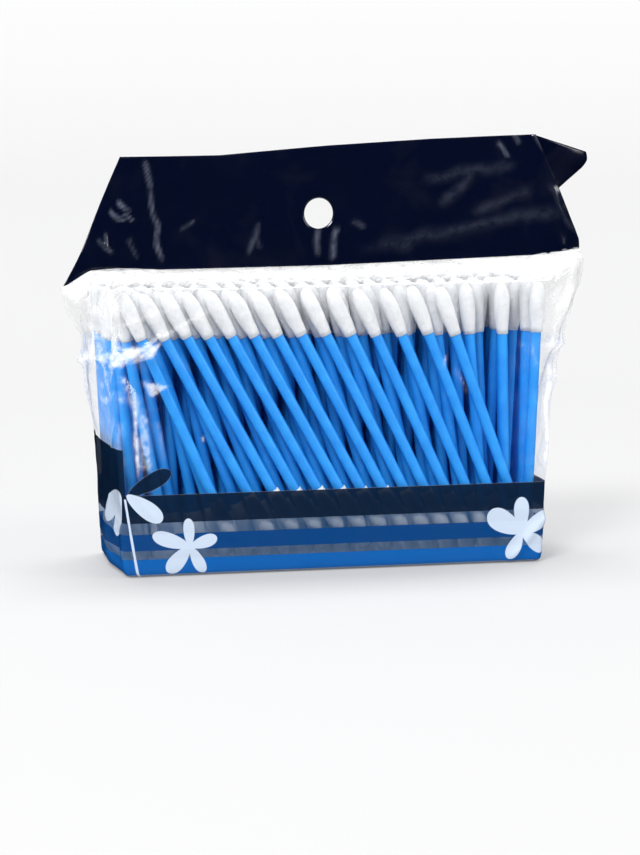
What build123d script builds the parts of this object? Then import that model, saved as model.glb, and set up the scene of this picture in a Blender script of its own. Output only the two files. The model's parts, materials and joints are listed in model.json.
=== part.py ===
"""A clear film bag of 200 cotton buds with a flat printed header for hanging.

Millimetres. The origin is the middle of the flat base, +Z is up, +X runs along the
front panel to the right, and the front panel faces -Y.

The buds stand in rows, one behind the other. A row is one flat layer: the axis of each
bud lies in a plane of constant Y, so a bud can only meet its neighbours in the same row.
The rows at the front lean to the left and ride up, and the rows behind stand straight.
"""

from build123d import *
from math import cos, hypot, radians, sin
import os

# ---- cotton bud -------------------------------------------------------------------
bud_length = 74.0          # over both cotton tips
stick_diameter = 2.8
stick_bore = 1.8           # the stick is an extruded tube
tip_diameter = 4.4         # cotton at its widest, as it is squeezed in the pack
tip_length = 13.5
tip_widest_at = 5.5        # from the outer end of the cotton
tip_cap_radius = 1.9       # rounded end of the cotton
cotton_neck = 0.25         # thickness of the cotton where it ends on the stick
cotton_beyond_stick = 1.6  # cotton past the end of the stick
bond_gap = 0.01            # between the stick and the cotton wound on it

# ---- how the buds stand -----------------------------------------------------------
bud_gap = 0.05             # least gap between two buds of a row, and between rows
straight_rows = 6
buds_per_straight_row = 25
# The leaning rows, front one first: number of buds, lean in degrees of the leftmost and
# the rightmost bud, and the steepest lean in between. A lean below 0 is to the right.
leaning_rows = [
    (14, 24.0, 20.0, 33.0),
    (16, 11.0, -2.5, 21.0),
    (20, 5.0, -1.0, 11.0),
]
head_crowding = 2.0        # how much tighter the heads stand at the left of a leaning row
foot_crowding = 0.35       # and the feet at its right
uneven_ends = 0.5          # how unevenly the ends of the buds lie

# ---- film bag ---------------------------------------------------------------------
film_gauge = 0.1
side_clearance = 0.3       # cotton to film at the sides
face_clearance = 0.25      # cotton to film at the front and back
end_clearance = 0.3        # cotton to film at the base and top
spare_top = 8.5            # width left over across the tops of a straight row
spare_base = 0.8           # the same across the bases
corner_radius = 2.0        # inside the bag's upright corners
shoulder_rise = 2.8        # from the top edges up to the foot of the header
header_height = 31.0
header_top_width = 114.0
ear_width = 10.5           # how far the header's lower corners stand out past the body
ear_drop = 30.0            # height over which an ear runs back into the side wall
hang_hole_diameter = 8.0
hang_hole_below_top = 16.0

# ---- worked out from the above ----------------------------------------------------
tip_radius = tip_diameter / 2
bud_pitch = tip_diameter + bud_gap
row_count = len(leaning_rows) + straight_rows
packed_width = buds_per_straight_row * bud_pitch - bud_gap + 2 * side_clearance
room_base_width = packed_width + spare_base
room_top_width = packed_width + spare_top
room_depth = row_count * bud_pitch - bud_gap + 2 * face_clearance
room_floor_z = film_gauge
room_top_z = room_floor_z + bud_length + uneven_ends + 2 * end_clearance
header_plies = 2 * film_gauge  # front and back film lie on each other
ridge_z = room_top_z + shoulder_rise
total_height = ridge_z + header_height
hang_hole_z = total_height - hang_hole_below_top


def spread(first, last, count, pitch, crowding):
    """Places from first to last, at least a pitch apart, the rest shared by a power law.

    Crowding above 1 sets the first ones close together, and below 1 the last ones.
    """
    spare = last - first - (count - 1) * pitch
    return [first + pitch * i + spare * (i / (count - 1)) ** crowding for i in range(count)]


def uneven(row, i):
    """A repeatable number from 0 to 1 that looks random."""
    return (sin(12.9898 * i + 78.233 * row) * 43758.5453) % 1


def leaning_row_ends(count, first_lean, last_lean, steepest):
    """Foot and head x of each bud in a row that leans to the left."""
    pitch = bud_pitch / cos(radians(steepest))
    inset = side_clearance + pitch / 2
    first_head = inset - room_top_width / 2
    last_foot = room_base_width / 2 - inset
    first_foot = first_head + bud_length * sin(radians(first_lean))
    last_head = last_foot - bud_length * sin(radians(last_lean))
    heads = spread(first_head, last_head, count, pitch, head_crowding)
    feet = spread(first_foot, last_foot, count, pitch, foot_crowding)
    return list(zip(feet, heads))


def straight_row_ends():
    """Foot and head x of each bud in a row that fills the bag's width."""
    inset = side_clearance + bud_pitch / 2
    head_end = room_top_width / 2 - inset
    foot_end = room_base_width / 2 - inset
    heads = spread(-head_end, head_end, buds_per_straight_row, bud_pitch, 1)
    feet = spread(-foot_end, foot_end, buds_per_straight_row, bud_pitch, 1)
    return list(zip(feet, heads))


def bud_places(row):
    """The bud frames of one row: origin at the lower end of a bud, z along the bud."""
    y = (row - (row_count - 1) / 2) * bud_pitch
    leaning = row < len(leaning_rows)
    ends = leaning_row_ends(*leaning_rows[row]) if leaning else straight_row_ends()
    places = []
    for i, (foot_x, head_x) in enumerate(ends):
        run = (head_x - foot_x) / bud_length
        climb = (1 - run**2) ** 0.5
        # A leaning bud rolls on its rounded end, which then reaches a little further.
        roll = tip_cap_radius * (1 - climb)
        slack = uneven_ends * uneven(row, i) + roll
        if leaning:
            head_z = room_top_z - end_clearance - slack
            foot_z = head_z - bud_length * climb
        else:
            foot_z = room_floor_z + end_clearance + slack
        places.append(
            Plane(origin=(foot_x, y, foot_z), x_dir=(climb, 0, -run), z_dir=(run, 0, climb))
        )
    return places


# ---- one bud, its lower end at the origin and standing on +Z ------------------------
with BuildPart() as stick:
    with BuildSketch(Plane.XY.offset(cotton_beyond_stick)):
        Circle(stick_diameter / 2)
        Circle(stick_bore / 2, mode=Mode.SUBTRACT)
    extrude(amount=bud_length - 2 * cotton_beyond_stick)

# The side of the cotton is upright at its widest place and runs smoothly into the cap.
cap_rise = tip_widest_at - tip_cap_radius
side_radius = (tip_radius**2 + cap_rise**2 - tip_cap_radius**2) / (
    2 * (tip_radius - tip_cap_radius)
)
to_cap = (side_radius - tip_radius, -cap_rise)
reach = tip_cap_radius / hypot(*to_cap)
cap_join = (to_cap[0] * reach, tip_cap_radius + to_cap[1] * reach)
neck_radius = stick_diameter / 2 + cotton_neck
cotton_bore_radius = stick_diameter / 2 + bond_gap

with BuildPart() as lower_tip:
    with BuildSketch(Plane.XZ):
        with BuildLine():
            side = TangentArc((tip_radius, tip_widest_at), cap_join, tangent=(0, -1))
            TangentArc(cap_join, (0, 0), tangent=side % 1)
            TangentArc((tip_radius, tip_widest_at), (neck_radius, tip_length), tangent=(0, 1))
            Polyline(
                (neck_radius, tip_length),
                (cotton_bore_radius, tip_length),
                (cotton_bore_radius, cotton_beyond_stick),
                (0, cotton_beyond_stick),
                (0, 0),
            )
        make_face()
    revolve(axis=Axis.Z)

with BuildPart() as upper_tip:
    with Locations(Plane(origin=(0, 0, bud_length), z_dir=(0, 0, -1))):
        add(lower_tip.part)

# ---- every row of buds --------------------------------------------------------------
os.makedirs("parts", exist_ok=True)
for row in range(row_count):
    places = bud_places(row)
    with BuildPart() as sticks:
        with Locations(*places):
            add(stick.part)
    sticks.part.label = f"row_{row + 1}_sticks"
    export_step(sticks.part, f"parts/{sticks.part.label}.step")

    with BuildPart() as lower_tips:
        with Locations(*places):
            add(lower_tip.part)
    lower_tips.part.label = f"row_{row + 1}_lower_tips"
    export_step(lower_tips.part, f"parts/{lower_tips.part.label}.step")

    with BuildPart() as upper_tips:
        with Locations(*places):
            add(upper_tip.part)
    upper_tips.part.label = f"row_{row + 1}_upper_tips"
    export_step(upper_tips.part, f"parts/{upper_tips.part.label}.step")


# ---- film bag -----------------------------------------------------------------------
def hull(film):
    """The filled bag as a block, with that much film outside the room: a box under a low ridge."""
    with BuildPart() as block:
        for z, width, depth, radius in (
            (room_floor_z - film, room_base_width, room_depth, corner_radius),
            (room_top_z + film, room_top_width, room_depth, corner_radius),
            (ridge_z + film, room_top_width, header_plies, header_plies / 4),
        ):
            with BuildSketch(Plane.XY.offset(z)):
                RectangleRounded(width + 2 * film, depth + 2 * film, radius + film)
        loft(ruled=True)
    return block


room = hull(0)
outside = hull(film_gauge)

with BuildPart() as film_bag:
    add(outside.part)
    add(room.part, mode=Mode.SUBTRACT)

film_bag.part.label = "film_bag"
export_step(film_bag.part, "parts/film_bag.step")

# The header and its two ears are one flat double ply in the middle of the depth. It rises
# from the ridge, and its ears run down the sides of the bag.
with BuildPart() as header:
    with BuildSketch(Plane.XZ):
        with BuildLine():
            Polyline(
                (-header_top_width / 2, total_height),
                (header_top_width / 2, total_height),
                (room_top_width / 2 + ear_width, ridge_z),
                (room_base_width / 2, ridge_z - ear_drop),
                (-room_base_width / 2, ridge_z - ear_drop),
                (-room_top_width / 2 - ear_width, ridge_z),
                close=True,
            )
        make_face()
        with Locations((0, hang_hole_z)):
            Circle(hang_hole_diameter / 2, mode=Mode.SUBTRACT)
    extrude(amount=header_plies / 2, both=True)
    add(outside.part, mode=Mode.SUBTRACT)

header.part.label = "header"
export_step(header.part, "parts/header.step")
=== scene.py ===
import json
from math import cos, pi, radians, sin

import bmesh
import bpy
import numpy as np
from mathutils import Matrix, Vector


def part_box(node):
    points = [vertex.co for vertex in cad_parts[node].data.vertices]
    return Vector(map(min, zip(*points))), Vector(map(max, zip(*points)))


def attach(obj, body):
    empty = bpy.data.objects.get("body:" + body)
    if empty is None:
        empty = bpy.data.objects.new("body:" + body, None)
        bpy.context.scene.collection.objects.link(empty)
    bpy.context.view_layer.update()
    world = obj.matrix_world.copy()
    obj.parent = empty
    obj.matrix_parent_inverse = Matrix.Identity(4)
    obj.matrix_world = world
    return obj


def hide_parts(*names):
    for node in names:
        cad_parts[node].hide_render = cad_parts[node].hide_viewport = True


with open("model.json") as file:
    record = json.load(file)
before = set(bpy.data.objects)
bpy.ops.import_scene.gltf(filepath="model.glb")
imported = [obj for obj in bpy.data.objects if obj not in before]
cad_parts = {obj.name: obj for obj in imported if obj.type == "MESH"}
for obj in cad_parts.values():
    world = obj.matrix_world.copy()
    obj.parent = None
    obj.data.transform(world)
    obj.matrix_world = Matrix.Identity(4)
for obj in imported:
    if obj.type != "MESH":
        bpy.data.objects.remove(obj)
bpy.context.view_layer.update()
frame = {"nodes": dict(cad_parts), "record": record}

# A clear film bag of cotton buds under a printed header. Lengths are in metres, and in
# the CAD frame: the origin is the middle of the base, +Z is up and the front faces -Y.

MM = 0.001


# ---- sizes read from the frame ------------------------------------------------------
bag_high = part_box("film_bag")[1]
header_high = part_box("header")[1]
bag_points = np.array([v.co for v in frame["nodes"]["film_bag"].data.vertices])
header_points = np.array([v.co for v in frame["nodes"]["header"].data.vertices])

half_depth = bag_high.y
half_top = bag_high.x
half_base = bag_points[bag_points[:, 2] < 0.5 * MM][:, 0].max()
ridge_z = bag_high.z
shoulder_z = bag_points[bag_points[:, 1] > half_depth - 0.2 * MM][:, 2].max()
header_foot = shoulder_z + half_depth  # how high the header starts on the flat film
header_top = header_high.z
ear_x = header_high.x
header_top_half = header_points[header_points[:, 2] > header_top - 0.2 * MM][:, 0].max()
hang_hole = next(m for m in frame["record"]["mounts"] if m["name"] == "hang_hole")
hole_z = hang_hole["pos_m"][2]
hole_radius = hang_hole["dims"]["r_mm"] * MM


# ---- small helpers ------------------------------------------------------------------
def add_piece(name, mesh):
    """A smooth object made from a mesh, in the scene."""
    mesh.polygons.foreach_set("use_smooth", [True] * len(mesh.polygons))
    piece = bpy.data.objects.new(name, mesh)
    bpy.context.scene.collection.objects.link(piece)
    return piece


def new_mesh(name, vertices, faces, uvs=None):
    """A mesh object from arrays of vertices and faces, with uvs for each vertex if given."""
    mesh = bpy.data.meshes.new(name)
    mesh.from_pydata([tuple(v) for v in vertices], [], [tuple(f) for f in faces])
    if uvs is not None:
        layer = mesh.uv_layers.new(name="film")
        corners = np.zeros(len(mesh.loops), dtype=np.int32)
        mesh.loops.foreach_get("vertex_index", corners)
        layer.data.foreach_set("uv", np.asarray(uvs)[corners].ravel())
    mesh.validate()
    mesh.update()
    return add_piece(name, mesh)


def smoothstep(low, high, x):
    """0 below low, 1 above high, and a smooth rise between."""
    t = np.clip((x - low) / (high - low), 0, 1)
    return t * t * (3 - 2 * t)


KNOTS = 32  # the noise repeats after this many cells


def value_noise(points, cell, seed):
    """Smooth noise from -1 to 1 in space: random knots a cell apart, with eased steps between."""
    knots = np.random.default_rng(seed).uniform(-1, 1, (KNOTS, KNOTS, KNOTS))
    where = np.asarray(points) / cell
    base = np.floor(where).astype(int)
    part = where - base
    part = part * part * (3 - 2 * part)
    total = 0
    for dx in (0, 1):
        for dy in (0, 1):
            for dz in (0, 1):
                weight = (
                    (part[..., 0] if dx else 1 - part[..., 0])
                    * (part[..., 1] if dy else 1 - part[..., 1])
                    * (part[..., 2] if dz else 1 - part[..., 2])
                )
                at = (base + (dx, dy, dz)) % KNOTS
                total = total + weight * knots[at[..., 0], at[..., 1], at[..., 2]]
    return total


def crumple(points, cell, seed):
    """Sharp-edged noise from 0 to 1, like film that was crushed and let go."""
    warp = np.stack([value_noise(points, 1.7 * cell, seed + k) for k in (1, 2, 3)], axis=-1)
    return np.abs(value_noise(points + 0.9 * cell * warp, cell, seed))


# ---- node helpers -------------------------------------------------------------------
class Graph:
    """A material's node tree, with short calls for the maths that the prints need."""

    def __init__(self, name):
        self.material = bpy.data.materials.new(name)
        self.material.use_nodes = True
        self.tree = self.material.node_tree
        self.shader = self.tree.nodes["Principled BSDF"]

    def node(self, kind, **settings):
        made = self.tree.nodes.new(kind)
        for key, value in settings.items():
            setattr(made, key, value)
        return made

    def link(self, source, target):
        self.tree.links.new(source, target)

    def feed(self, target, value):
        if isinstance(value, bpy.types.NodeSocket):
            self.link(value, target)
        else:
            target.default_value = value

    def math(self, operation, a, b=0.0, c=0.0, clamp=False):
        made = self.node("ShaderNodeMath", operation=operation, use_clamp=clamp)
        for target, value in zip(made.inputs, (a, b, c)):
            self.feed(target, value)
        return made.outputs[0]

    def between(self, value, low, high, soft):
        """1 where value lies from low to high, with soft edges."""
        centre, half = (low + high) / 2, (high - low) / 2
        off = self.math("ABSOLUTE", self.math("SUBTRACT", value, centre))
        return self.math("DIVIDE", self.math("SUBTRACT", half, off), soft, clamp=True)

    def mix(self, factor, a, b):
        """A colour between a and b."""
        made = self.node("ShaderNodeMix", data_type="RGBA")
        self.feed(made.inputs[0], factor)
        self.feed(made.inputs[6], a)
        self.feed(made.inputs[7], b)
        return made.outputs[2]

    def noise(self, vector, scale, detail=3.0, roughness=0.5, distortion=0.0):
        made = self.node("ShaderNodeTexNoise")
        self.feed(made.inputs["Vector"], vector)
        made.inputs["Scale"].default_value = scale
        made.inputs["Detail"].default_value = detail
        made.inputs["Roughness"].default_value = roughness
        made.inputs["Distortion"].default_value = distortion
        return made.outputs[0]

    def bump(self, height, distance, strength=1.0, onto=None):
        made = self.node("ShaderNodeBump")
        made.inputs["Strength"].default_value = strength
        made.inputs["Distance"].default_value = distance
        self.link(height, made.inputs["Height"])
        if onto is not None:
            self.link(onto, made.inputs["Normal"])
        return made.outputs[0]


def colour(red, green, blue):
    return (red, green, blue, 1.0)


# ---- the buds -----------------------------------------------------------------------
SAME_PLACE = 0.002 * MM  # vertices nearer than this are one
TIP_ROUND = 16           # vertices round a cotton tip
TIP_RINGS = 15           # and rings along it, its two ends included
TIP_FILL = 0.965         # how much of the CAD tip's radius the cotton takes up, so lumps fit in it


def islands(mesh):
    """The vertices of each separate solid of a mesh, as arrays of positions."""
    points = np.zeros(len(mesh.vertices) * 3)
    mesh.vertices.foreach_get("co", points)
    points = points.reshape(-1, 3)
    # Flat-shaded edges split vertices, so vertices in one place are joined first.
    rounded = np.round(points / SAME_PLACE).astype(np.int64)
    _, same = np.unique(rounded, axis=0, return_inverse=True)
    same = same.ravel()
    edges = np.zeros(len(mesh.edges) * 2, dtype=np.int64)
    mesh.edges.foreach_get("vertices", edges)
    edges = same[edges.reshape(-1, 2)]
    label = np.arange(same.max() + 1)
    while True:
        low = np.minimum(label[edges[:, 0]], label[edges[:, 1]])
        new = label.copy()
        np.minimum.at(new, edges[:, 0], low)
        np.minimum.at(new, edges[:, 1], low)
        new = new[new]
        if np.array_equal(new, label):
            break
        label = new
    label = label[same]
    return [points[label == k] for k in np.unique(label)]


def cotton_ends(row):
    """(outer end, direction inward, length, radius) of each tip of a row, lower tips first."""

    def from_left(node):
        return sorted(islands(frame["nodes"][node].data), key=lambda p: p[:, 0].mean())

    sticks = from_left(f"row_{row}_sticks")
    found = []
    for end, sign in (("lower", 1), ("upper", -1)):
        for stick, tip in zip(sticks, from_left(f"row_{row}_{end}_tips")):
            top = stick[stick[:, 2] > stick[:, 2].mean()].mean(0)
            bottom = stick[stick[:, 2] <= stick[:, 2].mean()].mean(0)
            axis = (top - bottom) / np.linalg.norm(top - bottom)
            middle = stick.mean(0)
            along = (tip - middle) @ axis
            off = np.linalg.norm(tip - middle - along[:, None] * axis, axis=1)
            outer = along.min() if sign > 0 else along.max()
            found.append((middle + outer * axis, sign * axis, along.max() - along.min(), off.max()))
    return found


def cotton_tip(outer, inward, length, radius, seed):
    """Vertices and faces of one wound cotton tip, uneven, lightly twisted and closed."""
    draw = np.random.default_rng(seed)
    side = np.cross(inward, (0.0, 1.0, 0.0))
    side /= np.linalg.norm(side)
    other = np.cross(inward, side)
    turn = np.linspace(0, 2 * pi, TIP_ROUND, endpoint=False)
    # widest is a share of the length; lumps, neck and reach are shares of the radius.
    twist = draw.uniform(0.5, 1.1) * draw.choice([-1, 1])
    phase = draw.uniform(0, 2 * pi, 4)
    lump = draw.uniform(0.015, 0.035, 3)
    widest = draw.uniform(0.36, 0.46)
    neck = draw.uniform(0.70, 0.76)
    roundness = draw.uniform(0.42, 0.52)
    rings = []
    for k in range(1, TIP_RINGS):
        # Rings stand closer together where the end is round.
        t = (k / (TIP_RINGS - 1)) ** 1.5
        if t < widest:
            size = (1 - (1 - t / widest) ** 2.3) ** roundness
        else:
            size = neck + (1 - neck) * cos(0.5 * pi * (t - widest) / (1 - widest)) ** 1.2
        wave = turn + twist * t * 3
        uneven = (
            lump[0] * np.sin(2 * wave + phase[0])
            + lump[1] * np.sin(3 * wave + phase[1])
            + 0.6 * lump[2] * np.sin(5 * wave + phase[2] + 4 * t)
        )
        reach = radius * size * (TIP_FILL + uneven * min(1, 4 * t))
        centre = outer + inward * length * t
        sideways = np.outer(reach * np.cos(turn), side)
        rings.append(centre + sideways + np.outer(reach * np.sin(turn), other))
    points = np.vstack([outer[None]] + rings + [(outer + inward * length)[None]])
    faces = []
    last = len(points) - 1
    for j in range(TIP_ROUND):
        faces.append((0, 1 + (j + 1) % TIP_ROUND, 1 + j))
    for k in range(len(rings) - 1):
        a = 1 + k * TIP_ROUND
        b = a + TIP_ROUND
        for j in range(TIP_ROUND):
            n = (j + 1) % TIP_ROUND
            faces.append((a + j, a + n, b + n, b + j))
    a = 1 + (len(rings) - 1) * TIP_ROUND
    for j in range(TIP_ROUND):
        faces.append((last, a + j, a + (j + 1) % TIP_ROUND))
    return points, faces


def cotton_row(row, material):
    """The cotton of one row of buds, in place of its CAD tips."""
    ends = cotton_ends(row)
    half = len(ends) // 2
    # Each tip has a seed of its own.
    for name, group, seed in (
        ("lower", ends[:half], 1000 * row),
        ("upper", ends[half:], 1000 * row + 500),
    ):
        points, faces, start = [], [], 0
        for i, (outer, inward, length, radius) in enumerate(group):
            made, sides = cotton_tip(outer, inward, length, radius, seed + i)
            points.append(made)
            faces += [tuple(start + k for k in f) for f in sides]
            start += len(made)
        piece = new_mesh(f"row_{row}_{name}_cotton", np.vstack(points), faces)
        piece.data.materials.append(material)
        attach(piece, "root")
        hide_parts(f"row_{row}_{name}_tips")


def cotton_material():
    """White lint with soft clumps."""
    g = Graph("wound_cotton")
    place = g.node("ShaderNodeTexCoord").outputs["Object"]
    lint = g.noise(place, 900, 6, 0.65, 0.6)
    clumps = g.noise(place, 260, 3, 0.55)
    shade = g.mix(clumps, colour(0.60, 0.62, 0.65), colour(0.84, 0.85, 0.86))
    g.link(shade, g.shader.inputs["Base Color"])
    g.shader.inputs["Roughness"].default_value = 0.95
    g.shader.inputs["Specular IOR Level"].default_value = 0.2
    g.shader.inputs["Sheen Weight"].default_value = 0.4
    g.shader.inputs["Subsurface Weight"].default_value = 0.25
    g.shader.inputs["Subsurface Radius"].default_value = (1.0, 1.0, 1.0)
    g.shader.inputs["Subsurface Scale"].default_value = 0.6 * MM
    rough = g.bump(lint, 0.45 * MM, 0.9)
    g.link(g.bump(clumps, 0.5 * MM, 0.6, rough), g.shader.inputs["Normal"])
    return g.material


def stick_material():
    """Blue plastic that lets a little light in, with faint streaks."""
    g = Graph("blue_stick")
    place = g.node("ShaderNodeTexCoord").outputs["Object"]
    streak = g.noise(place, 220, 2, 0.5)
    shade = g.mix(streak, colour(0.008, 0.22, 0.72), colour(0.032, 0.38, 0.93))
    g.link(shade, g.shader.inputs["Base Color"])
    g.shader.inputs["Roughness"].default_value = 0.33
    g.shader.inputs["Subsurface Weight"].default_value = 0.15
    g.shader.inputs["Subsurface Radius"].default_value = (0.2, 0.6, 1.0)
    g.shader.inputs["Subsurface Scale"].default_value = 0.8 * MM
    g.link(g.bump(g.noise(place, 1400, 2), 0.01 * MM, 0.5), g.shader.inputs["Normal"])
    return g.material


cotton = cotton_material()
blue = stick_material()
row_count = len([n for n in frame["nodes"] if n.endswith("_sticks")])
for row in range(1, row_count + 1):
    cotton_row(row, cotton)
    sticks = frame["nodes"][f"row_{row}_sticks"]
    sticks.data.materials.clear()
    sticks.data.materials.append(blue)


# ---- the film -----------------------------------------------------------------------
# The film is one tube, closed along the header's top and drawn in to a line under the
# base. It is a grid: u runs round the tube from the left end of the front panel, and v
# runs from the middle of the base, up the walls, over the shoulder and up the header.
STEP = 0.76 * MM
FRONT_CELLS = 2 * round(half_top / STEP)
SIDE_CELLS = 2 * round(half_depth / STEP)
PLY = 0.16 * MM          # each ply of the header from the middle of its thickness
HEADER_SHIFT = 3.6 * MM  # the header has slid a little to the right on the body
HEADER_LEAN = 3.6 * MM   # how far its top leans back
HOLE_CELLS = 5           # the hang hole's edge is this many cells from its middle
HOLE_BLEND = 12          # and the grid is square again this many cells out
HOLE_SPACING = 0.92      # how much closer than STEP the rings of cells round the hole stand
HOLE_LIFT = 1.5 * MM     # about how much the header is lifted at the hole
UV_PER_METRE = 10.0      # the film's uv coordinates are in units of 100 mm
UV_IN_MM = 100.0


def side_ridge(z):
    """How far the middle of a side stands out at height z, where it runs up into the ear."""
    rise = smoothstep(0.35 * ridge_z, ridge_z, z)
    foot = 1.2 * MM * (1 - smoothstep(0.0, 0.3 * ridge_z, z))
    return (ear_x - half_top) * rise ** 1.6 + foot


def ring(half_width, depth, z, ridge):
    """One ring of the tube: front from left to right, right side, back, left side."""
    s = np.linspace(-1, 1, FRONT_CELLS, endpoint=False)
    q = np.linspace(-1, 1, SIDE_CELLS, endpoint=False)
    out = ridge * (1 - np.abs(q))
    x = np.concatenate([s * half_width, half_width + out, -s * half_width, -half_width - out])
    y = np.concatenate([-depth + 0 * s, depth * q, depth + 0 * s, -depth * q])
    return np.stack([x, y, np.full_like(x, z)], axis=1)


def film_grid():
    """Positions of the whole grid, shape (u, v, 3), and for each v its height on the flat film.

    The flat film starts at 0 where the base meets the walls, and the base is below 0.
    """
    rings, flat = [], []
    base_steps = round(half_depth / STEP)
    for k in range(base_steps):
        inset = half_depth * (1 - k / base_steps)
        rings.append(ring(half_base - inset, half_depth - inset, 0, 0))
        flat.append(-inset)
    wall_steps = round(shoulder_z / STEP)
    for k in range(wall_steps):
        t = k / wall_steps
        z = shoulder_z * t
        rings.append(ring(half_base + (half_top - half_base) * t, half_depth, z, side_ridge(z)))
        flat.append(z)
    shoulder_steps = round(half_depth / STEP)
    for k in range(shoulder_steps):
        t = k / shoulder_steps
        z = shoulder_z + (ridge_z - shoulder_z) * t
        rings.append(ring(half_top, half_depth * (1 - t) + PLY * t, z, side_ridge(z)))
        flat.append(shoulder_z + half_depth * t)
    header_steps = round((header_top - ridge_z) / STEP)
    for k in range(header_steps + 1):
        t = k / header_steps
        z = ridge_z + (header_top - ridge_z) * t
        edge = ear_x + (header_top_half - ear_x) * t
        half = min(half_top, edge) * (1 - 0.06 * t)
        rings.append(ring(half, PLY, z, edge - half))
        flat.append(header_foot + (z - ridge_z))
    rings.append(ring(half, 0.0, header_top, edge - half))
    flat.append(flat[-1])
    return np.stack(rings, axis=1), np.array(flat)


def blur(grid, axis, times, weight):
    """Rounds the grid along one axis, by an amount from 0 to 1 for each point."""
    for _ in range(times):
        before = np.roll(grid, 1, axis=axis)
        after = np.roll(grid, -1, axis=axis)
        if axis == 1:
            before[:, 0] = grid[:, 0]
            after[:, -1] = grid[:, -1]
        grid = grid + weight * (0.25 * before + 0.25 * after - 0.5 * grid)
    return grid


def normals(grid):
    """Outward unit normals of the grid."""
    du = np.roll(grid, -1, axis=0) - np.roll(grid, 1, axis=0)
    dv = np.zeros_like(grid)
    dv[:, 1:-1] = grid[:, 2:] - grid[:, :-2]
    dv[:, 0] = grid[:, 1] - grid[:, 0]
    dv[:, -1] = grid[:, -1] - grid[:, -2]
    n = np.cross(du, dv)
    return n / np.maximum(np.linalg.norm(n, axis=2, keepdims=True), 1e-12)


def fold(across, up, start, finish, width):
    """1 along a straight crease on a panel, falling to 0 at width from it and past its ends."""
    (ax, az), (bx, bz) = start, finish
    length = np.hypot(bx - ax, bz - az)
    tx, tz = (bx - ax) / length, (bz - az) / length
    along = (across - ax) * tx + (up - az) * tz
    off = np.abs((across - ax) * tz - (up - az) * tx)
    ends = smoothstep(-0.12 * length, 0.15 * length, along)
    ends = ends * (1 - smoothstep(0.85 * length, 1.12 * length, along))
    return ends * np.maximum(0, 1 - off / width) ** 1.6


def facet(across, up, corners, soft):
    """A mask of a flat facet with the given corners in order round it, soft at its rim."""
    inside = np.full_like(across, 1e9)
    middle = np.mean(corners, axis=0)
    for (ax, az), (bx, bz) in zip(corners, corners[1:] + corners[:1]):
        nx, nz = az - bz, bx - ax
        side = np.sign((middle[0] - ax) * nx + (middle[1] - az) * nz) / np.hypot(nx, nz)
        inside = np.minimum(inside, ((across - ax) * nx + (up - az) * nz) * side)
    return np.clip(inside / soft + 0.5, 0, 1)


def up_header(z):
    """How far up the header a height z is: 0 at the ridge and below it, 1 at the top."""
    return np.clip((z - ridge_z) / (header_top - ridge_z), 0, 1)


HEADER_CREASES = (
    # start and end of each crease as x, z in mm, its height and width in mm, and how white it is
    # painted: partly ink rubbed pale, partly a painted highlight along the crease
    ((-50.5, 108.0), (-49.0, 99.5), 0.60, 0.9, 0.60),
    ((-49.0, 98.0), (-46.5, 80.5), 0.60, 0.9, 0.85),
    ((-57.5, 97), (-54.0, 94.5), 0.40, 0.9, 0.8),
    ((-59.5, 95), (-56.5, 91.5), 0.40, 0.9, 0.7),
    ((-56.0, 94), (-54.5, 91.0), 0.30, 0.9, 0.6),
    ((-64, 87), (-60, 83), 0.45, 0.9, 0.45),
    ((-61, 89), (-62, 84), 0.45, 0.9, 0.4),
    ((-55, 86), (-53, 82), 0.30, 0.9, 0.30),
    ((-42, 88.5), (-37.5, 90.5), 0.30, 0.9, 0.35),
    ((-20.5, 89), (-23, 82), 0.40, 1.1, 0.35),
    ((-21.5, 87), (-20, 83), 0.30, 0.9, 0.25),
    ((-3.5, 88.0), (-5.0, 81.0), 0.60, 1.2, 0.55),
    ((1.0, 88.0), (0.0, 80.0), 0.60, 1.4, 0.60),
    ((6, 90), (8, 87.5), 0.25, 0.9, 0.25),
    ((47, 107.5), (50, 103), 0.50, 1.0, 0.6),
    ((50.5, 110), (53, 106.5), 0.45, 1.0, 0.35),
    ((54, 112), (66.5, 98.5), 0.55, 1.0, 0.35),
    ((26, 99), (50, 101), 0.25, 2.6, 0.12),
    ((30, 92), (40, 99), 0.25, 2.2, 0.14),
    ((40, 90), (55, 94), 0.25, 2.6, 0.12),
    ((12, 82), (66, 89), 0.35, 3.0, 0.12),
    ((61, 95), (69, 83), 0.55, 1.4, 0.12),
)


def header_lift(x, up):
    """How much higher than level the header lies at x and up: its right end stands up."""
    at = (-70, -57, -30, 0, 28, 57, 72)
    foot = np.interp(x / MM, at, (0.6, 0.9, 1.0, 1.2, 2.1, 3.1, 3.6))
    top = np.interp(x / MM, at, (-0.4, -0.4, -0.3, 1.8, 3.2, 4.0, 4.0))
    return (foot + (top - foot) * up) * MM


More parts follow.
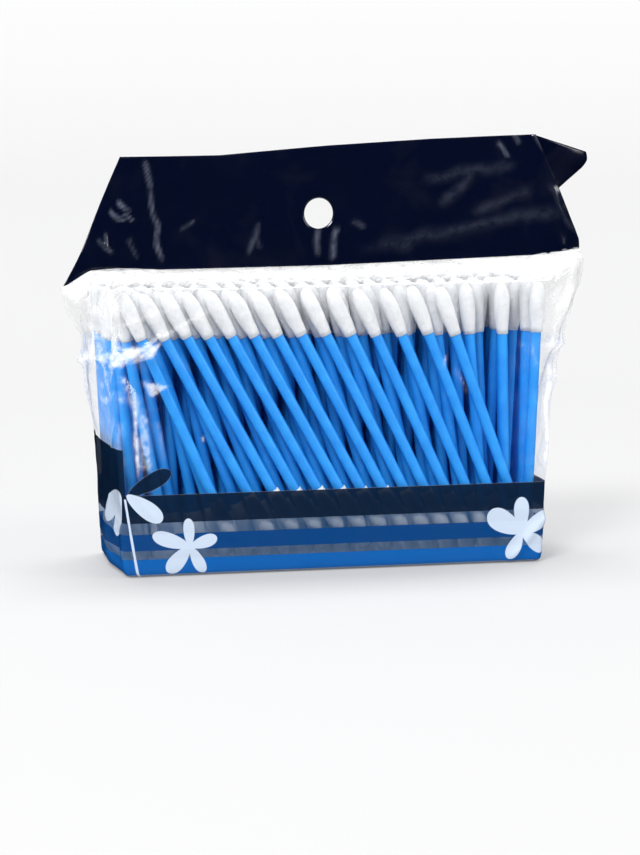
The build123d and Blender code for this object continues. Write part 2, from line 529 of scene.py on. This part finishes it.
def shape_header(grid):
    """Slides, lifts, leans and creases the header, both plies together.

    Returns the grid, and how white each point is painted along the creases: partly rubbed ink,
    partly painted highlight.
    """
    x, z = grid[..., 0].copy(), grid[..., 2].copy()
    # rise is 1 on the header, and fades out down the shoulder and down the ears.
    rise = smoothstep(shoulder_z, ridge_z + 1 * MM, z) * (np.abs(grid[..., 1]) < 0.9 * half_depth)
    rise = np.maximum(rise, smoothstep(0.55 * ridge_z, ridge_z, z) * (np.abs(x) > half_top))
    up = up_header(z)
    # The hang hole stays where it is, and the header slides under it.
    grid[..., 0] += HEADER_SHIFT * rise
    grid[..., 2] += header_lift(x, up) * rise
    wave = 1.1 * MM * np.sin(x / (19 * MM) + 0.8)
    wave = wave + 0.7 * MM * np.sin(x / (8.5 * MM) + z / (12 * MM))
    push = HEADER_LEAN * up + wave * up * 0.7
    flat_points = np.stack([x, 0 * x, z], axis=-1)
    push = push + rise * 0.5 * MM * value_noise(flat_points, 16 * MM, 5)
    push = push + up * 0.45 * MM * crumple(flat_points, 21 * MM, 11)
    ends = smoothstep(40 * MM, 60 * MM, np.abs(x))
    push = push + rise * ends * 0.30 * MM * crumple(flat_points, 5 * MM, 61)
    marks = np.zeros_like(x)
    wander = 1.1 * value_noise(flat_points, 5 * MM, 17), 1.1 * value_noise(flat_points, 5 * MM, 18)
    for start, finish, height, width, white in HEADER_CREASES:
        line = rise * fold(x / MM + wander[0], z / MM + wander[1], start, finish, width)
        push = push - line * height * MM
        marks = np.maximum(marks, line * white)
    grid[..., 1] += push * np.where(up > 0, 1.0, rise * 0.3)
    # The right end of the header bends back, and the left one a little forward.
    right = smoothstep(half_top, ear_x, x) * rise
    left = smoothstep(half_top, ear_x, -x) * rise
    grid[..., 1] += 3.0 * MM * right ** 1.5 - 2.0 * MM * left ** 1.5
    # The tip of the left ear reaches out and down in a thin tail.
    tail = smoothstep(ear_x - 5 * MM, ear_x, -x) * (1 - up) ** 6 * rise
    grid[..., 0] -= 2.6 * MM * tail
    grid[..., 2] -= 3.4 * MM * tail
    # The right ear is cut off upright.
    grid[..., 0] = np.minimum(grid[..., 0], ear_x + HEADER_SHIFT - 1.2 * MM)
    return grid, marks


FRONT_FOLDS = (
    # start and end of each fold of the front panel as x, z in mm, its height and width, and
    # how strong the painted highlight along it is
    ((-58, 55.0), (-47, 64.5), 0.9, 1.3, 0.75),
    ((-49, 62.5), (-33, 71), 0.6, 1.7, 0.40),
    ((-57.0, 53), (-53.5, 47), 0.9, 1.1, 0.85),
    ((-54.3, 49), (-53.6, 27), 0.7, 1.1, 0.85),
    ((-51.6, 42), (-50.8, 28), 0.4, 1.8, 0.45),
    ((-48.0, 41), (-46.8, 31), 0.25, 1.5, 0.25),
    ((-58, 66), (-46, 70), 0.5, 1.6, 0.40),
    ((-45, 60), (-39, 54), 0.35, 1.0, 0.15),
    ((60.5, 74), (57.6, 52), 0.6, 1.3, 0.5),
    ((57.6, 54), (57.0, 26), 0.5, 1.3, 0.9),
    ((52.5, 64), (54, 52), 0.35, 1.4, 0.25),
    ((49.5, 60), (57, 50), 0.35, 1.2, 0.25),
    ((29, 57.0), (28.5, 53), 0.35, 0.9, 0.40),
    ((31.5, 53), (35, 46), 0.3, 1.0, 0.30),
    ((-36, 37), (-35.2, 35), 0.3, 0.9, 0.5),
    ((-56, 24), (-47, 12), 0.35, 1.2, 0.1),
    ((47, 0), (58, 13), 0.9, 2.2, 0.85),
    ((-57.5, 13), (-56, 1), 0.6, 1.6, 0.4),
)
FRONT_FACETS = (
    # corners of each facet where the film stands off the buds, its height and the strength of its
    # painted highlight
    (((-60, 59.5), (-47.5, 61.5), (-49.5, 58.2), (-60, 55.0)), 1.2, 0.95),
    (((-51.8, 51.8), (-45.4, 50.2), (-49.3, 47.2)), 0.9, 0.70),
    (((-58.5, 54.0), (-52.6, 46.5), (-53.4, 40.0)), 0.6, 0.35),
    (((-53.2, 44.0), (-50.2, 42.0), (-51.2, 27.0), (-53.2, 29.0)), 0.4, 0.32),
)
SIDE_FOLDS = (
    # the same on a side panel, as y, z
    ((-20, 46), (-6, 66), 1.0, 1.6, 0.5),
    ((20, 46), (6, 66), 1.0, 1.6, 0.5),
    ((-18, 40), (4, 12), 0.8, 1.5, 0.5),
    ((0, 60), (0, 36), 1.2, 2.0, 0.5),
    ((-14, 24), (10, 32), 0.6, 1.5, 0.3),
    ((-20, 58), (8, 55), 1.2, 3.0, 0.8),
    ((-20, 14), (16, 6), 0.8, 2.0, 0.4),
)


# How places are scaled before the noise is read: below 1 draws a wrinkle out that way.
LEVEL = np.array([1.0, 1.0, 2.6])
UPRIGHT = np.array([2.2, 1.0, 0.5])
ACROSS = np.array([0.45, 1.0, 1.0])
LONG_ACROSS = np.array([0.4, 1.0, 1.0])


def crease_body(grid, flat_height):
    """Wrinkles and folds of the film round the buds, outward only.

    Returns the grid, and how strong the painted highlights and painted white reflection are at each
    point.
    """
    out = normals(grid)
    x, y, z = grid[..., 0] / MM, grid[..., 1] / MM, grid[..., 2] / MM
    on_front = (y < -0.8 * half_depth / MM) * 1.0
    # Folds wander a little from their straight lines.
    wander = 0.7 * value_noise(grid, 7 * MM, 15), 0.7 * value_noise(grid, 7 * MM, 16)
    on_side = smoothstep(0.93 * half_top / MM, 0.99 * half_top / MM, np.abs(x))
    body = 1 - smoothstep(shoulder_z + 0.85 * half_depth, header_foot, flat_height)[None, :]
    wall = smoothstep(-2 * MM, 3 * MM, flat_height)[None, :]
    high = smoothstep(0.70, 1.0, z / (shoulder_z / MM))
    near_side = smoothstep(0.72 * half_top / MM, 0.95 * half_top / MM, np.abs(x))
    slack = 0.10 + 0.30 * on_side + 0.22 * near_side + 0.50 * high
    # Broad billows, sharp creases where the film is slack, flat level wrinkles, upright
    # pulls on the front and back, and wrinkles that run across below the header.
    bulge = 0.25 * crumple(grid, 17 * MM, 21) * slack
    bulge = bulge + 1.1 * crumple(grid, 9 * MM, 31) * slack ** 1.6
    bulge += 0.30 * slack * crumple(grid * LEVEL, 6 * MM, 41)
    bulge += 0.10 * (1 - on_side) * crumple(grid * UPRIGHT, 11 * MM, 51)
    bulge += 0.45 * high * crumple(grid * ACROSS, 7 * MM, 71)
    # Painted highlights lie along the folds and on the facets, as strong as the tables give.
    marks = np.zeros_like(x)
    for panel, along, folds in ((on_front, x, FRONT_FOLDS), (on_side * body, y, SIDE_FOLDS)):
        for start, finish, height, width, white in folds:
            line = panel * fold(along + wander[0], z + wander[1], start, finish, width)
            bulge += line * height
            marks = np.maximum(marks, line * white)
    for corners, height, white in FRONT_FACETS:
        flat = on_front * facet(x + 0.6 * wander[0], z + 0.6 * wander[1], corners, 1.1)
        bulge += flat * height
        marks = np.maximum(marks, flat * white)
    # The shoulder is painted white as a painted reflection of the light, with whiter painted
    # highlights on its wrinkles.
    wrinkles = crumple(grid * LONG_ACROSS, 5 * MM, 81)
    over = smoothstep(shoulder_z - 2 * MM, shoulder_z + 0.35 * half_depth, flat_height)[None, :]
    marks = np.maximum(marks, body * over * (0.42 + 0.5 * wrinkles))
    # The film of the sides gets patchy painted highlights.
    loose = body * wall * (on_side * 0.30 + near_side * 0.15) * crumple(grid, 6 * MM, 91)
    marks = np.maximum(marks, np.clip(1.6 * loose, 0, 1))
    # The left side stands out over the base, draws in above it and stands out again.
    left = on_side * (x < 0) * (1 - (y / (half_depth / MM)) ** 2)
    bulge += left * (2.2 * np.exp(-((z - 8) / 7) ** 2) + 2.0 * np.exp(-((z - 42) / 16) ** 2))
    grid = grid + out * (bulge * body * wall * MM)[..., None]
    grid[..., 2] = np.maximum(grid[..., 2], 0)
    return grid, marks


def open_hole(grid):
    """Moves the grid round the hang hole out onto a circle.

    Returns the grid, the cells to drop, and the walls that join the two plies round the hole.
    """
    header_start = grid.shape[1] - 2 - round((header_top - ridge_z) / STEP)
    middle_v = header_start + round((hole_z - HOLE_LIFT - ridge_z) / STEP)
    spine = FRONT_CELLS // 2 + round(-HEADER_SHIFT / STEP)

    def column(offset, back):
        """The u that lies offset cells right of the hole, on the front or on the back."""
        return (2 * FRONT_CELLS + SIDE_CELLS - spine - offset) if back else spine + offset

    for back in (False, True):
        # shape_header moves the hole by the shift and the lift, so both are taken off here.
        centre = grid[column(0, back), middle_v].copy()
        centre[0] = -HEADER_SHIFT
        centre[2] = hole_z - header_lift(0.0, (hole_z - ridge_z) / (header_top - ridge_z))
        square = grid.copy()
        for i in range(-HOLE_BLEND, HOLE_BLEND + 1):
            for j in range(-HOLE_BLEND, HOLE_BLEND + 1):
                k = max(abs(i), abs(j))
                if k < HOLE_CELLS:
                    continue
                place = column(i, back), middle_v + j
                reach = hole_radius + (k - HOLE_CELLS) * STEP * HOLE_SPACING
                flat = np.hypot(i, j)
                round_x = centre[0] + reach * i / flat
                round_z = centre[2] + reach * j / flat
                mix = (k - HOLE_CELLS) / (HOLE_BLEND - HOLE_CELLS)
                grid[place][0] = round_x * (1 - mix) + square[place][0] * mix
                grid[place][2] = round_z * (1 - mix) + square[place][2] * mix
    inner = range(-HOLE_CELLS, HOLE_CELLS)
    dropped = {(column(i, False), middle_v + j) for i in inner for j in inner}
    dropped |= {(column(i + 1, True), middle_v + j) for i in inner for j in inner}
    n = HOLE_CELLS
    loop = [(i, -n) for i in range(-n, n)] + [(n, j) for j in range(-n, n)]
    loop += [(i, n) for i in range(n, -n, -1)] + [(-n, j) for j in range(n, -n, -1)]
    walls = []
    for a, b in zip(loop, loop[1:] + loop[:1]):
        walls.append([
            (column(a[0], False), middle_v + a[1]),
            (column(a[0], True), middle_v + a[1]),
            (column(b[0], True), middle_v + b[1]),
            (column(b[0], False), middle_v + b[1]),
        ])
    return grid, dropped, walls


def film_mesh(grid, flat_height, marks, dropped, walls):
    """The film as a mesh, its uv being the place on the flat film: across and up."""
    # Where each panel starts and ends across the flat film: front, right side, back, left side.
    far = half_top + 2 * half_depth
    panel = [(-half_top, half_top, FRONT_CELLS), (half_top, far, SIDE_CELLS)]
    panel += [(far, 3 * half_top + 2 * half_depth, FRONT_CELLS), (-far, -half_top, SIDE_CELLS)]
    across = [(low + (high - low) * k / cells, low + (high - low) * (k + 1) / cells)
              for low, high, cells in panel for k in range(cells)]
    count_u, count_v = grid.shape[:2]
    index = np.arange(count_u * count_v).reshape(count_u, count_v)
    faces, uvs = [], []
    for i in range(count_u):
        n = (i + 1) % count_u
        left, right = across[i]
        for j in range(count_v - 1):
            if (i, j) in dropped:
                continue
            faces.append((index[i, j], index[n, j], index[n, j + 1], index[i, j + 1]))
            low, high = flat_height[j], flat_height[j + 1]
            uvs += [(left, low), (right, low), (right, high), (left, high)]
    for wall in walls:
        faces.append(tuple(index[place] for place in wall))
        uvs += [(0.0, flat_height[wall[0][1]])] * 4
    mesh = bpy.data.meshes.new("film")
    mesh.from_pydata([tuple(v) for v in grid.reshape(-1, 3)], [], faces)
    layer = mesh.uv_layers.new(name="film")
    layer.data.foreach_set("uv", (np.array(uvs) * UV_PER_METRE).ravel())
    glare_and_wear = mesh.attributes.new("fold_glare_and_wear", "FLOAT", "POINT")
    glare_and_wear.data.foreach_set("value", marks.ravel())
    work = bmesh.new()
    work.from_mesh(mesh)
    bmesh.ops.remove_doubles(work, verts=work.verts, dist=SAME_PLACE)
    bmesh.ops.dissolve_degenerate(work, edges=work.edges, dist=0.001 * MM)
    loose = [v for v in work.verts if not v.link_faces]
    bmesh.ops.delete(work, geom=loose, context="VERTS")
    bmesh.ops.recalc_face_normals(work, faces=work.faces)
    work.to_mesh(mesh)
    work.free()
    return add_piece("film", mesh)


# The print, in mm on the flat film, and in linear colours.
BAND = (14.3, 21.8)          # the dark band, from and to this height
DARK_STRIPE = (7.0, 11.5)
BRIGHT_STRIPE = (0.4, 4.9)
TINT = (-1.5, 14.6)          # the clear film between and below them is tinted
PANEL_TOP = 34.0             # the dark panel on the left side, which starts where the band does
PRINT_SOFT = 0.12            # softness of a printed edge
PETAL_SOFT = 0.15
TINT_INK = colour(0.008, 0.13, 0.36)
DARK_INK = colour(0.0008, 0.046, 0.185)
BRIGHT_INK = colour(0.0015, 0.098, 0.37)
BAND_INK = colour(0.0030, 0.012, 0.034)
PETAL_INK = colour(0.52, 0.61, 0.74)
HEADER_INK = colour(0.0007, 0.0022, 0.0115)
# Paler blotches on the dark header are painted sheen, standing in for soft glossy reflections.
HEADER_PAINTED_SHEEN = colour(0.0050, 0.0060, 0.0150)
# The colour of the header's creases is partly ink rubbed pale and partly a painted highlight.
CREASE_WEAR_AND_HIGHLIGHT = colour(0.14, 0.16, 0.22)
# Petals as angle in degrees, length and width.
DARK_LEAF = ((26, 13.5, 4.6),)
EDGE_PETAL = ((-36, 12.0, 5.0),)
SIDE_PETALS = ((-160, 24.0, 7.5), (-125, 14.0, 7.0))
LEFT_FLOWER = ((162, 11.0, 4.2), (92, 7.5, 3.4), (16, 8.0, 3.6), (-62, 8.0, 3.6), (-135, 9.5, 4.6))
RIGHT_FLOWER = ((152, 11.5, 6.2), (94, 9.5, 4.6), (30, 9.5, 4.6), (-35, 9.0, 4.4), (-118, 8.0, 4.0))
# How much light each layer stops, from 0 to 1.
SOLID_INK, PETAL_COVER, TINT_COVER, CLEAR_COVER = 0.975, 0.95, 0.50, 0.075


def petal(g, across, up, root, angle, length, width):
    """A mask of one petal that swells from its root and ends round, at an angle in degrees."""
    turn = radians(angle)
    dx = g.math("SUBTRACT", across, root[0])
    dy = g.math("SUBTRACT", up, root[1])
    along_x = g.math("MULTIPLY", dx, cos(turn) / length)
    along = g.math("ADD", along_x, g.math("MULTIPLY", dy, sin(turn) / length))
    off_y = g.math("MULTIPLY", dy, cos(turn))
    off = g.math("SUBTRACT", off_y, g.math("MULTIPLY", dx, sin(turn)))
    # Half the width is 0.72 * width * sqrt(t * (1 - t^3)). It is widest at t = 0.63, where it
    # comes to width / 2.
    t = g.math("MINIMUM", g.math("MAXIMUM", along, 0.0), 1.0)
    swell = g.math("SQRT", g.math("MULTIPLY", t, g.math("SUBTRACT", 1.0, g.math("POWER", t, 3.0))))
    room = g.math("SUBTRACT", g.math("MULTIPLY", swell, 0.72 * width), g.math("ABSOLUTE", off))
    return g.math("DIVIDE", room, PETAL_SOFT, clamp=True)


def flower(g, across, up, root, shapes):
    """The union of petals, each given as angle, length and width."""
    mask = None
    for angle, length, width in shapes:
        one = petal(g, across, up, root, angle, length, width)
        mask = one if mask is None else g.math("MAXIMUM", mask, one)
    return mask


def film_material():
    """Clear glossy film with its print, with painted highlights and a painted white reflection
    where creased and slack; the header's creases are partly rubbed pale.
    """
    g = Graph("printed_clear_film")
    uv = g.node("ShaderNodeUVMap", uv_map="film").outputs[0]
    split = g.node("ShaderNodeSeparateXYZ")
    g.link(uv, split.inputs[0])
    across = g.math("MULTIPLY", split.outputs[0], UV_IN_MM)
    up = g.math("MULTIPLY", split.outputs[1], UV_IN_MM)
    corner = -half_top / MM
    header = g.math("SUBTRACT", up, header_foot / MM - 0.2)
    header = g.math("MULTIPLY", header, 6.0, clamp=True)
    # The clear film is drawn first, then the bands, the flowers and the header over it.
    band = g.between(up, *BAND, PRINT_SOFT)
    dark = g.between(up, *DARK_STRIPE, PRINT_SOFT)
    bright = g.between(up, *BRIGHT_STRIPE, PRINT_SOFT)
    on_left_side = g.math("LESS_THAN", across, corner + 0.6)
    panel = g.math("MULTIPLY", g.between(up, BAND[0], PANEL_TOP, 0.15), on_left_side)
    band = g.math("MAXIMUM", band, panel)
    leaves = flower(g, across, up, (corner + 1.5, 22.0), DARK_LEAF)
    white = flower(g, across, up, (corner + 1.0, 22.0), EDGE_PETAL)
    for root, petals in (
        ((corner - 1.5, 22.0), SIDE_PETALS),
        ((corner + 18.2, 7.8), LEFT_FLOWER),
        ((-corner - 6.5, 8.3), RIGHT_FLOWER),
    ):
        white = g.math("MAXIMUM", white, flower(g, across, up, root, petals))
    # A stem runs down from the petals at the left corner.
    sway = g.math("SUBTRACT", across, g.math("MULTIPLY_ADD", up, -0.13, corner + 3.1))
    stem = g.math("MULTIPLY", g.between(sway, -0.45, 0.45, 0.15), g.between(up, -1.0, 21.0, 0.3))
    white = g.math("MAXIMUM", white, stem)
    tint = g.between(up, *TINT, PRINT_SOFT)
    ink = g.mix(tint, colour(1, 1, 1), TINT_INK)
    ink = g.mix(dark, ink, DARK_INK)
    ink = g.mix(bright, ink, BRIGHT_INK)
    ink = g.mix(g.math("MAXIMUM", band, leaves), ink, BAND_INK)
    ink = g.mix(white, ink, PETAL_INK)
    place = g.node("ShaderNodeTexCoord").outputs["Object"]
    # Painted highlights along the creases and a painted white reflection where the film is slack;
    # on the header the creases are also partly rubbed pale ink.
    glare_and_wear = g.node("ShaderNodeAttribute", attribute_name="fold_glare_and_wear").outputs["Fac"]
    patchy = g.math("MULTIPLY_ADD", g.noise(place, 420, 5, 0.65), 2.6, -0.55, clamp=True)
    glare_and_wear = g.math("MULTIPLY", glare_and_wear, patchy, clamp=True)
    # The header's paler blotches are painted sheen, standing in for soft glossy reflections.
    sheen_blotch = g.math("MULTIPLY_ADD", g.noise(place, 55, 3, 0.55, 0.8), 4.0, -2.1, clamp=True)
    header_ink_wear_and_sheen = g.mix(sheen_blotch, HEADER_INK, HEADER_PAINTED_SHEEN)
    header_ink_wear_and_sheen = g.mix(g.math("MULTIPLY", glare_and_wear, 0.9), header_ink_wear_and_sheen, CREASE_WEAR_AND_HIGHLIGHT)
    ink = g.mix(header, ink, header_ink_wear_and_sheen)
    inked = g.math("MAXIMUM", g.math("MAXIMUM", band, dark), g.math("MAXIMUM", bright, leaves))
    inked = g.math("MULTIPLY", inked, SOLID_INK)
    inked = g.math("MAXIMUM", inked, g.math("MULTIPLY", white, PETAL_COVER))
    inked = g.math("MAXIMUM", inked, g.math("MULTIPLY", tint, TINT_COVER))
    inked = g.math("MAXIMUM", inked, header)
    g.link(ink, g.shader.inputs["Base Color"])
    facing = g.node("ShaderNodeLayerWeight")
    facing.inputs["Blend"].default_value = 0.5
    edge = g.math("MULTIPLY", g.math("POWER", facing.outputs["Facing"], 2.5), 0.45)
    rim_and_glare = g.math("MAXIMUM", edge, g.math("MULTIPLY", glare_and_wear, 0.85))
    shine = g.math("MAXIMUM", rim_and_glare, CLEAR_COVER)
    g.link(g.math("MAXIMUM", shine, inked), g.shader.inputs["Alpha"])
    # Clear film only mirrors, while ink and the painted highlights scatter light; at grazing angles
    # the film is painted white, a painted reflection.
    scatter = g.math("MAXIMUM", inked, g.math("MULTIPLY", rim_and_glare, 4.0, clamp=True))
    g.link(g.math("SUBTRACT", 1.0, scatter), g.shader.inputs["Metallic"])
    worn = g.noise(place, 90, 4, 0.6)
    g.link(g.math("MULTIPLY_ADD", worn, 0.20, 0.06), g.shader.inputs["Roughness"])
    g.shader.inputs["Specular IOR Level"].default_value = 0.5
    fine = g.noise(place, 420, 3, 0.55, 0.5)
    broad = g.noise(place, 70, 3, 0.5, 0.6)
    g.link(g.bump(fine, 0.05 * MM, 0.5, g.bump(broad, 0.30 * MM, 0.35)), g.shader.inputs["Normal"])
    return g.material


FOLD_CELLS = 14
# Corners of the fold as x, z in mm: two beside the header, then two at its free end.
FOLD_INNER_LOW, FOLD_INNER_HIGH = np.array((66.0, 97.0)), np.array((60.5, 112.8))
FOLD_OUTER_LOW, FOLD_OUTER_HIGH = np.array((75.6, 103.4)), np.array((76.2, 107.8))
FOLD_UV = (0.0, 1.2)  # a place on the flat film that is all header print


def header_fold(material):
    """The corner of the back ply that stands out behind the header's right edge.

    Its inner edge lies 1 to 3 mm behind the header and doesn't meet it.
    """
    points, faces, uvs = [], [], []
    for i in range(FOLD_CELLS + 1):
        t = i / FOLD_CELLS
        for j in range(FOLD_CELLS + 1):
            out = j / FOLD_CELLS
            low = FOLD_INNER_LOW + (FOLD_OUTER_LOW - FOLD_INNER_LOW) * out
            high = FOLD_INNER_HIGH + (FOLD_OUTER_HIGH - FOLD_INNER_HIGH) * out
            x, z = low + (high - low) * t
            x += 0.6 * sin(pi * t) * out
            back = 4.2 + 5.0 * out ** 1.4 * (1 - 0.5 * t) + 0.5 * sin(4.0 * out + 3.0 * t)
            y = back + 1.1 * abs(t - 0.45) * out
            points.append((x * MM, y * MM, z * MM))
            uvs.append(FOLD_UV)
    row = FOLD_CELLS + 1
    for i in range(FOLD_CELLS):
        for j in range(FOLD_CELLS):
            a = i * row + j
            faces.append((a, a + 1, a + row + 1, a + row))
    piece = new_mesh("header_fold", points, faces, uvs)
    piece.data.materials.append(material)
    thick = piece.modifiers.new("film_gauge", "SOLIDIFY")
    thick.thickness = 2 * PLY
    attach(piece, "root")


film, flat_height = film_grid()
film, dropped, walls = open_hole(film)
# The corners of the body are rounded, and the header and its ears stay flat. The first two
# rings, in the middle of the base, stay put.
round_weight = 1 - smoothstep(shoulder_z - 4 * MM, shoulder_z + 14 * MM, flat_height)
edge_weight = 1 - smoothstep(header_foot - 4 * MM, header_foot, flat_height)
round_weight[:2] = edge_weight[:2] = 0
film = blur(film, 0, 6, round_weight[None, :, None])
film = blur(film, 1, 4, edge_weight[None, :, None])
film, body_painted_glare = crease_body(film, flat_height)
film, header_wear_and_glare = shape_header(film)
film_piece = film_mesh(film, flat_height, np.maximum(body_painted_glare, header_wear_and_glare), dropped, walls)
film_look = film_material()
film_piece.data.materials.append(film_look)
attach(film_piece, "root")
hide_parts("film_bag", "header")
header_fold(film_look)


# ---- floor, light and camera ----------------------------------------------------------
def studio():
    """A round pale floor that curves up into a wall on all sides, well outside the camera."""
    flat, bend, height = 1.4, 1.8, 3.2  # radius of the flat part, of the bend, and the wall's top
    turns, bend_steps = 96, 12
    profile = [(0.3, 0.0), (1.0, 0.0), (flat, 0.0)]
    for k in range(1, bend_steps + 1):
        a = 0.5 * pi * k / bend_steps
        profile.append((flat + bend * sin(a), bend - bend * cos(a)))
    profile.append((flat + bend, height))
    points = [(0.0, 0.0, 0.0)]
    for reach, z in profile:
        for j in range(turns):
            a = 2 * pi * j / turns
            points.append((reach * cos(a), reach * sin(a), z))
    faces = [(0, 1 + j, 1 + (j + 1) % turns) for j in range(turns)]
    for k in range(len(profile) - 1):
        a, b = 1 + k * turns, 1 + (k + 1) * turns
        faces += [(a + j, b + j, b + (j + 1) % turns, a + (j + 1) % turns) for j in range(turns)]
    floor = new_mesh("floor", points, faces)
    floor.location.z = -0.05 * MM  # just clear of the bag's base
    g = Graph("pale_floor")
    g.shader.inputs["Base Color"].default_value = colour(0.33, 0.33, 0.333)
    g.shader.inputs["Roughness"].default_value = 0.7
    g.shader.inputs["Specular IOR Level"].default_value = 0.1
    g.shader.inputs["Emission Color"].default_value = colour(1.0, 1.0, 0.995)
    # The floor glows a little, and more so further off, where less light reaches it.
    span = g.node("ShaderNodeVectorMath", operation="LENGTH")
    g.link(g.node("ShaderNodeTexCoord").outputs["Object"], span.inputs[0])
    glow = g.node("ShaderNodeMapRange")
    g.link(span.outputs["Value"], glow.inputs["Value"])
    for name, value in (("From Min", 0.35), ("From Max", 2.2), ("To Min", 0.20), ("To Max", 0.60)):
        glow.inputs[name].default_value = value
    g.link(glow.outputs["Result"], g.shader.inputs["Emission Strength"])
    floor.data.materials.append(g.material)
    floor.visible_glossy = False


def area_light(name, place, aim, size, power):
    """A white light of that size in metres and power in watts, turned to its aim."""
    data = bpy.data.lights.new(name, "AREA")
    data.shape = "RECTANGLE"
    data.size, data.size_y = size
    data.energy = power
    light = bpy.data.objects.new(name, data)
    light.location = place
    light.rotation_euler = (Vector(aim) - Vector(place)).to_track_quat("-Z", "Y").to_euler()
    bpy.context.scene.collection.objects.link(light)


studio()
area_light("key", (-0.75, -1.15, 1.55), (0, 0, 0.05), (0.55, 0.55), 32)
area_light("top", (0.1, 0.55, 1.7), (0, 0.0, 0), (1.2, 0.7), 29)
area_light("left", (-1.5, -0.1, 0.55), (0, 0, 0.05), (0.45, 0.8), 7)
area_light("right", (1.4, -0.7, 0.8), (0, 0, 0.05), (0.45, 0.8), 8)

world = bpy.data.worlds.new("studio")
world.use_nodes = True
background = world.node_tree.nodes["Background"]
background.inputs["Color"].default_value = colour(1.0, 1.0, 1.0)
background.inputs["Strength"].default_value = 0.72
# Neither the world nor the floor shows in glossy film, so the header stays dark.
world.cycles_visibility.glossy = False
bpy.context.scene.world = world
bpy.context.scene.view_settings.view_transform = "Standard"

AZIMUTH, ELEVATION = radians(-13), radians(8)
DISTANCE = 1.0
AIM = Vector((0.0, 0.0, 0.0353))
SENSOR = 36.0
LENS = 156.63158  # mm: at that distance the picture's longer side spans 0.230 m
data = bpy.data.cameras.new("camera")
data.sensor_width = SENSOR
data.lens = LENS
camera = bpy.data.objects.new("camera", data)
back = Vector((sin(AZIMUTH) * cos(ELEVATION), -cos(AZIMUTH) * cos(ELEVATION), sin(ELEVATION)))
camera.location = AIM + back * DISTANCE
camera.rotation_euler = (-back).to_track_quat("-Z", "Y").to_euler()
bpy.context.scene.collection.objects.link(camera)
bpy.context.scene.camera = camera
